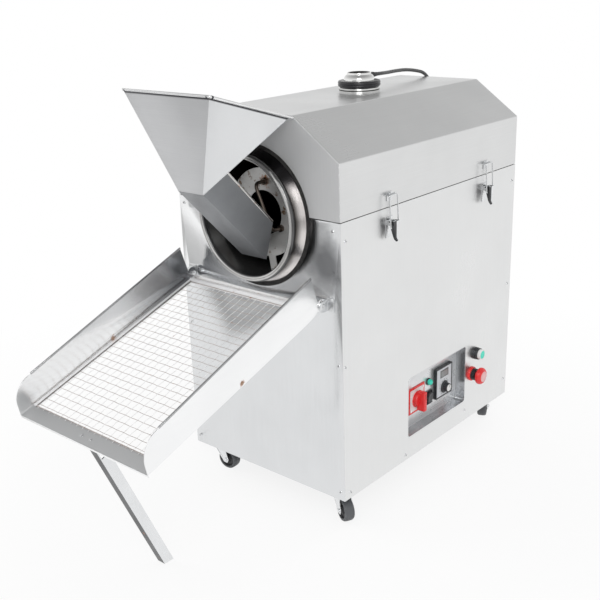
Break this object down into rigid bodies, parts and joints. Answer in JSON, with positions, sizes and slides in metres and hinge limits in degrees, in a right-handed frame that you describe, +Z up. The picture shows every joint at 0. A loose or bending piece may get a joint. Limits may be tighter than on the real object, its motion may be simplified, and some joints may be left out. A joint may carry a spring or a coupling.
{
  "type": "seed roasting machine",
  "caption": "Wheeled drum roaster with hinged lid, front hopper and chute, sloping sieve tray on a prop leg, side control recess and top vent.",
  "frame": {"origin": "on the floor under the middle of the machine's box", "axes": "+Z up, -Y to the front with the drum mouth and tray, +X to the side with the controls"},
  "size_m": [0.476, 1.1661, 0.8985],
  "materials": {
    "stainless": "polished and lightly brushed",
    "painted_grey": "satin",
    "heat_tinted": "satin, heat tinted",
    "black_fibre": "matte",
    "rubber": "glossy",
    "wheel": "satin",
    "zinc": "bright zinc",
    "red_plastic": "gloss",
    "white_plastic": "gloss",
    "green_plastic": "gloss",
    "black_plastic": "satin",
    "cast_iron": "satin",
    "chrome": "mirror",
    "drum_steel": "satin",
    "heater": "oxidised"
  },
  "bodies": {
    "cabinet": {"base_frame": "painted_grey", "front_panel": "stainless", "right_panel": "stainless", "left_panel": "stainless", "rear_panel": "stainless", "control_pan": "stainless", "mouth_collar": "heat_tinted", "cabinet_fibre": "black_fibre", "chamber_trough": "drum_steel", "heater_rods": "heater", "rear_bearing": "cast_iron", "drive_belt": "rubber", "gearmotor": "painted_grey", "hopper_arm": "stainless", "caster_plates": "zinc", "switch_plates": "white_plastic", "pilot_lamp": "green_plastic", "speed_controller": "black_plastic", "button_collars": "black_plastic", "latch_bases": "zinc", "hinge_body_leaves": "zinc", "panel_screws": "zinc"},
    "lid": {"lid_shell": "stainless", "lid_liner": "stainless", "lid_fibre": "black_fibre", "latch_keepers": "zinc", "hinge_lid_leaves": "zinc", "vent_ring": "rubber", "vent_dome": "chrome", "cord_glands": "black_plastic", "vent_cord": "rubber"},
    "drum": {"drum": "drum_steel", "mouth_baffle": "stainless", "baffle_handle": "drum_steel", "drum_pulley": "cast_iron"},
    "motor_pulley": {"motor_pulley": "cast_iron"},
    "left_roller": {"left_roller": "black_plastic"},
    "right_roller": {"right_roller": "black_plastic"},
    "hopper": {"hopper": "stainless"},
    "tray": {"tray_pan": "stainless", "tray_mesh": "stainless", "leg_bracket": "zinc"},
    "leg": {"tray_leg": "zinc"},
    "isolator_knob": {"isolator_knob": "red_plastic"},
    "rocker": {"rocker": "black_plastic"},
    "speed_knob": {"speed_knob": "black_plastic"},
    "start_button": {"start_button": "green_plastic"},
    "stop_button": {"stop_button": "red_plastic"},
    "front_latch_lever": {"front_latch_lever": "zinc"},
    "front_latch_bail": {"front_latch_bail": "zinc"},
    "rear_latch_lever": {"rear_latch_lever": "zinc"},
    "rear_latch_bail": {"rear_latch_bail": "zinc"},
    "front_right_fork": {"front_right_fork": "zinc"},
    "front_right_wheel": {"front_right_wheel": "wheel"},
    "front_left_fork": {"front_left_fork": "zinc"},
    "front_left_wheel": {"front_left_wheel": "wheel"},
    "rear_right_fork": {"rear_right_fork": "zinc"},
    "rear_right_wheel": {"rear_right_wheel": "wheel"},
    "rear_left_fork": {"rear_left_fork": "zinc"},
    "rear_left_wheel": {"rear_left_wheel": "wheel"}
  },
  "joints": [
    {"name": "lid_hinge", "type": "hinge", "parent": "cabinet", "child": "lid", "pos_m": [-0.234, 0.2268, 0.65], "axis": [0, -1, 0], "range_deg": [0, 100]},
    {"name": "drum_spin", "type": "hinge", "parent": "cabinet", "child": "drum", "pos_m": [-0.013, 0.1998, 0.635], "axis": [0, 1, 0], "continuous": true},
    {"name": "motor_pulley_spin", "type": "hinge", "parent": "cabinet", "child": "motor_pulley", "pos_m": [-0.013, 0.5088, 0.167], "axis": [0, 1, 0], "continuous": true},
    {"name": "left_roller_spin", "type": "hinge", "parent": "cabinet", "child": "left_roller", "pos_m": [-0.10196, -0.0582, 0.52898], "axis": [0, 1, 0], "continuous": true},
    {"name": "right_roller_spin", "type": "hinge", "parent": "cabinet", "child": "right_roller", "pos_m": [0.07596, -0.0582, 0.52898], "axis": [0, 1, 0], "continuous": true},
    {"name": "hopper_lift", "type": "slide", "parent": "cabinet", "child": "hopper", "axis": [0, -0.7009, 0.7133], "range_m": [0, 0.25]},
    {"name": "tray_hinge", "type": "hinge", "parent": "cabinet", "child": "tray", "pos_m": [-0.013, -0.1142, 0.487], "axis": [-1, 0, 0], "range_deg": [0, 25]},
    {"name": "leg_hinge", "type": "hinge", "parent": "tray", "child": "leg", "pos_m": [-0.013, -0.54316, 0.31943], "axis": [1, 0, 0], "range_deg": [0, 70]},
    {"name": "isolator_turn", "type": "hinge", "parent": "cabinet", "child": "isolator_knob", "pos_m": [0.183, 0.1918, 0.18], "axis": [1, 0, 0], "range_deg": [0, 90]},
    {"name": "rocker_tilt", "type": "hinge", "parent": "cabinet", "child": "rocker", "pos_m": [0.1805, 0.2423, 0.165], "axis": [0, -1, 0], "range_deg": [0, 16]},
    {"name": "speed_turn", "type": "hinge", "parent": "cabinet", "child": "speed_knob", "pos_m": [0.187, 0.2948, 0.174], "axis": [1, 0, 0], "range_deg": [0, 280]},
    {"name": "start_press", "type": "slide", "parent": "cabinet", "child": "start_button", "axis": [-1, 0, 0], "range_m": [0, 0.0035], "stiffness_N_per_m": 700, "springref_m": -0.003},
    {"name": "stop_press", "type": "slide", "parent": "cabinet", "child": "stop_button", "axis": [-1, 0, 0], "range_m": [0, 0.0045], "stiffness_N_per_m": 900, "springref_m": -0.004},
    {"name": "front_latch_turn", "type": "hinge", "parent": "cabinet", "child": "front_latch_lever", "pos_m": [0.213, 0.0518, 0.62], "axis": [0, -1, 0], "range_deg": [0, 100]},
    {"name": "front_bail_swing", "type": "hinge", "parent": "front_latch_lever", "child": "front_latch_bail", "pos_m": [0.218, 0.0518, 0.612], "axis": [0, -1, 0], "range_deg": [-120, 0]},
    {"name": "rear_latch_turn", "type": "hinge", "parent": "cabinet", "child": "rear_latch_lever", "pos_m": [0.213, 0.4148, 0.62], "axis": [0, -1, 0], "range_deg": [0, 100]},
    {"name": "rear_bail_swing", "type": "hinge", "parent": "rear_latch_lever", "child": "rear_latch_bail", "pos_m": [0.218, 0.4148, 0.612], "axis": [0, -1, 0], "range_deg": [-120, 0]},
    {"name": "front_right_swivel", "type": "hinge", "parent": "cabinet", "child": "front_right_fork", "pos_m": [0.163, -0.0592, 0.059], "axis": [0, 0, 1], "continuous": true},
    {"name": "front_right_roll", "type": "hinge", "parent": "front_right_fork", "child": "front_right_wheel", "pos_m": [0.17904, -0.06737, 0.025], "axis": [0.454, 0.891, 0], "continuous": true},
    {"name": "front_left_swivel", "type": "hinge", "parent": "cabinet", "child": "front_left_fork", "pos_m": [-0.189, -0.0592, 0.059], "axis": [0, 0, 1], "continuous": true},
    {"name": "front_left_roll", "type": "hinge", "parent": "front_left_fork", "child": "front_left_wheel", "pos_m": [-0.17107, -0.05763, 0.025], "axis": [-0.0872, 0.9962, 0], "continuous": true},
    {"name": "rear_right_swivel", "type": "hinge", "parent": "cabinet", "child": "rear_right_fork", "pos_m": [0.163, 0.5128, 0.059], "axis": [0, 0, 1], "continuous": true},
    {"name": "rear_right_roll", "type": "hinge", "parent": "rear_right_fork", "child": "rear_right_wheel", "pos_m": [0.15539, 0.52911, 0.025], "axis": [-0.9063, -0.4226, 0], "continuous": true},
    {"name": "rear_left_swivel", "type": "hinge", "parent": "cabinet", "child": "rear_left_fork", "pos_m": [-0.189, 0.5128, 0.059], "axis": [0, 0, 1], "continuous": true},
    {"name": "rear_left_roll", "type": "hinge", "parent": "rear_left_fork", "child": "rear_left_wheel", "pos_m": [-0.19213, 0.53053, 0.025], "axis": [-0.9848, -0.1736, 0], "continuous": true}
  ],
  "couplings": [
    {"joint": "motor_pulley_spin", "follows": "drum_spin", "ratio": 3.0921},
    {"joint": "left_roller_spin", "follows": "drum_spin", "ratio": -5.9},
    {"joint": "right_roller_spin", "follows": "drum_spin", "ratio": -5.9},
    {"joint": "front_bail_swing", "follows": "front_latch_turn", "ratio": -1.2},
    {"joint": "rear_bail_swing", "follows": "rear_latch_turn", "ratio": -1.2}
  ]
}
